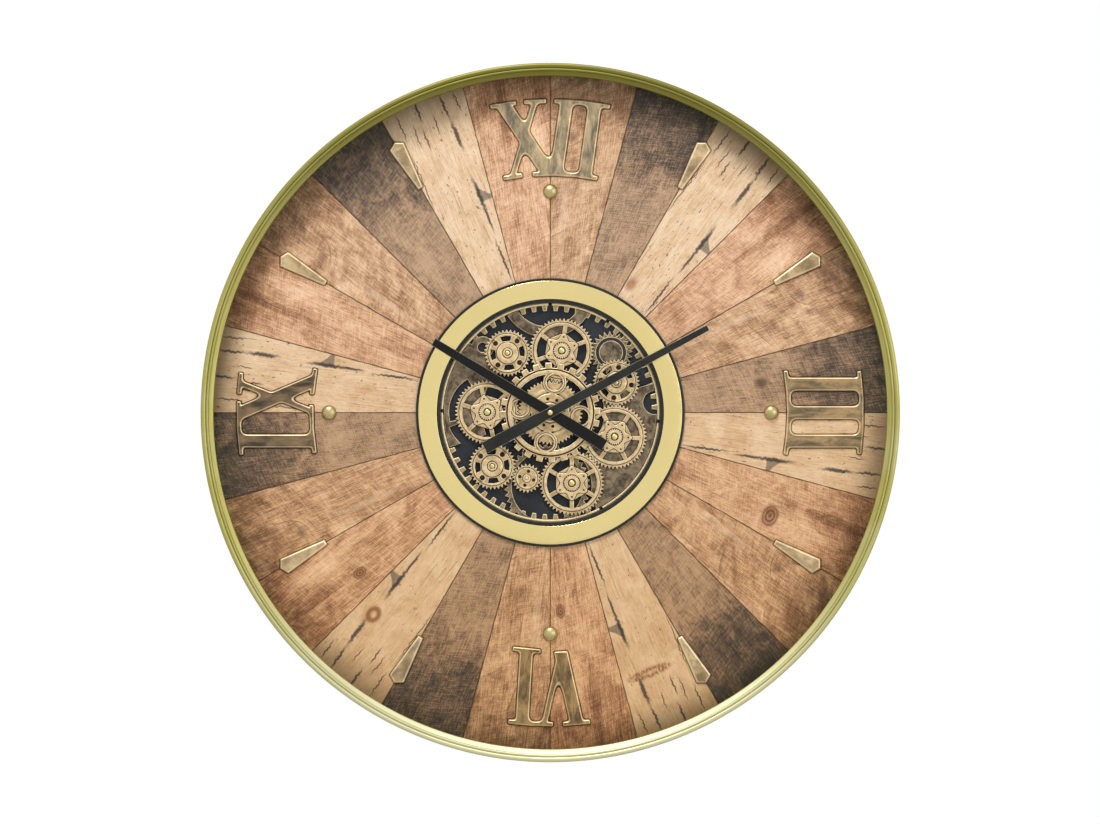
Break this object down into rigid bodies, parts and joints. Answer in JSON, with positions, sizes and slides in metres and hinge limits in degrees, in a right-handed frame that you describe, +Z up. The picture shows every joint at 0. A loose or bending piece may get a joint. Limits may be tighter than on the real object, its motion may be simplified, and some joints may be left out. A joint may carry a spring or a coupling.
{
  "type": "gear wall clock",
  "caption": "Round glazed wall clock with a metal rim, a wooden plank dial, metal Roman numerals and an open train of moving gears behind two hands.",
  "frame": {"origin": "on the clock's axis, in the plane of the wall", "axes": "+Z up towards twelve, +X right, +Y into the wall, so the room is on the -Y side"},
  "size_m": [0.8, 0.07, 0.8],
  "materials": {
    "rim_metal": "satin champagne lacquer, streaked round the rim",
    "clear_glass": "clear flat glass",
    "fibreboard": "plain brown board",
    "tan_wood": "grey-tan weathered plank",
    "dark_wood": "dark brown weathered plank",
    "pale_wood": "pale plank with a long crack",
    "orange_wood": "warm plank with knots",
    "sheet_steel": "plain bent sheet",
    "numeral_brass": "aged brass with bright edges",
    "slate_plate": "slate grey paint",
    "bezel_gold": "polished, with blackened edges",
    "ring_bronze": "bronze with light edges",
    "dark_bronze": "dark bronze with light edges",
    "gear_brass": "pale aged brass",
    "arbor_steel": "turned steel",
    "arbor_brass": "turned brass",
    "hand_black": "near-black satin paint",
    "black_plastic": "moulded plastic",
    "cell_sleeve": "plain printed sleeve, no words"
  },
  "bodies": {
    "case": {"case_rim": "rim_metal", "front_glass": "clear_glass", "dial_board": "fibreboard", "planks_tan": "tan_wood", "planks_dark": "dark_wood", "planks_pale": "pale_wood", "planks_orange": "orange_wood", "case_brackets": "sheet_steel", "hanger_bracket": "sheet_steel", "numeral_xii": "numeral_brass", "numeral_iii": "numeral_brass", "numeral_vi": "numeral_brass", "numeral_ix": "numeral_brass", "hour_batons": "numeral_brass", "mounting_plate": "slate_plate", "bezel_ring": "bezel_gold", "tooth_ring": "ring_bronze", "top_arm": "dark_bronze", "left_plate": "dark_bronze", "right_plate": "dark_bronze", "crescent_ring": "dark_bronze", "fixed_gear": "dark_bronze", "gear_arbors": "arbor_steel", "centre_bush": "arbor_brass", "works_case": "black_plastic", "drive_case": "black_plastic", "cells": "cell_sleeve", "cell_contacts": "sheet_steel"},
    "centre_gear": {"centre_wheel": "gear_brass", "ring_gear": "gear_brass"},
    "top_gear": {"star_gear_top": "gear_brass"},
    "left_gear": {"star_gear_left": "gear_brass"},
    "right_gear": {"star_gear_right": "gear_brass"},
    "bottom_gear": {"star_gear_bottom": "gear_brass"},
    "upper_gear": {"hole_gear_upper": "gear_brass"},
    "lower_gear": {"hole_gear_lower": "gear_brass"},
    "side_gear": {"hole_gear_side": "gear_brass"},
    "pinion": {"drive_pinion": "gear_brass", "drive_shaft": "arbor_steel"},
    "hour": {"hour_hand": "hand_black", "hour_tube": "arbor_brass"},
    "minute": {"minute_hand": "hand_black", "minute_arbor": "arbor_brass", "cap_nut": "arbor_brass"},
    "setting": {"setting_knob": "black_plastic"}
  },
  "joints": [
    {"name": "centre_gear_spin", "type": "hinge", "parent": "case", "child": "centre_gear", "pos_m": [0, -0.0309, 0], "axis": [0, 1, 0], "continuous": true},
    {"name": "top_gear_spin", "type": "hinge", "parent": "case", "child": "top_gear", "pos_m": [0.01309, -0.0309, 0.07131], "axis": [0, 1, 0], "continuous": true},
    {"name": "left_gear_spin", "type": "hinge", "parent": "case", "child": "left_gear", "pos_m": [-0.0725, -0.0309, 0.00051], "axis": [0, 1, 0], "continuous": true},
    {"name": "right_gear_spin", "type": "hinge", "parent": "case", "child": "right_gear", "pos_m": [0.07399, -0.0309, -0.02781], "axis": [0, 1, 0], "continuous": true},
    {"name": "bottom_gear_spin", "type": "hinge", "parent": "case", "child": "bottom_gear", "pos_m": [0.02483, -0.0309, -0.08109], "axis": [0, 1, 0], "continuous": true},
    {"name": "upper_gear_spin", "type": "hinge", "parent": "case", "child": "upper_gear", "pos_m": [-0.0492, -0.0309, 0.06859], "axis": [0, 1, 0], "continuous": true},
    {"name": "lower_gear_spin", "type": "hinge", "parent": "case", "child": "lower_gear", "pos_m": [-0.06674, -0.0309, -0.06158], "axis": [0, 1, 0], "continuous": true},
    {"name": "side_gear_spin", "type": "hinge", "parent": "case", "child": "side_gear", "pos_m": [0.07584, -0.0309, 0.03451], "axis": [0, 1, 0], "continuous": true},
    {"name": "pinion_spin", "type": "hinge", "parent": "case", "child": "pinion", "pos_m": [-0.02708, -0.0309, -0.07554], "axis": [0, 1, 0], "continuous": true},
    {"name": "minute_spin", "type": "hinge", "parent": "case", "child": "minute", "pos_m": [0, -0.0309, 0], "axis": [0, 1, 0], "continuous": true},
    {"name": "hour_spin", "type": "hinge", "parent": "case", "child": "hour", "pos_m": [0, -0.0309, 0], "axis": [0, 1, 0], "continuous": true},
    {"name": "setting_spin", "type": "hinge", "parent": "case", "child": "setting", "pos_m": [0, -0.0309, 0.012], "axis": [0, 1, 0], "continuous": true}
  ],
  "couplings": [
    {"joint": "top_gear_spin", "follows": "centre_gear_spin", "ratio": -1},
    {"joint": "left_gear_spin", "follows": "centre_gear_spin", "ratio": -1},
    {"joint": "right_gear_spin", "follows": "centre_gear_spin", "ratio": -1},
    {"joint": "bottom_gear_spin", "follows": "centre_gear_spin", "ratio": 1},
    {"joint": "upper_gear_spin", "follows": "centre_gear_spin", "ratio": 1.3889},
    {"joint": "lower_gear_spin", "follows": "centre_gear_spin", "ratio": 1.3889},
    {"joint": "side_gear_spin", "follows": "centre_gear_spin", "ratio": 1.3889},
    {"joint": "pinion_spin", "follows": "centre_gear_spin", "ratio": -2.2727},
    {"joint": "hour_spin", "follows": "minute_spin", "ratio": 0.083333},
    {"joint": "setting_spin", "follows": "minute_spin", "ratio": -0.33333}
  ]
}
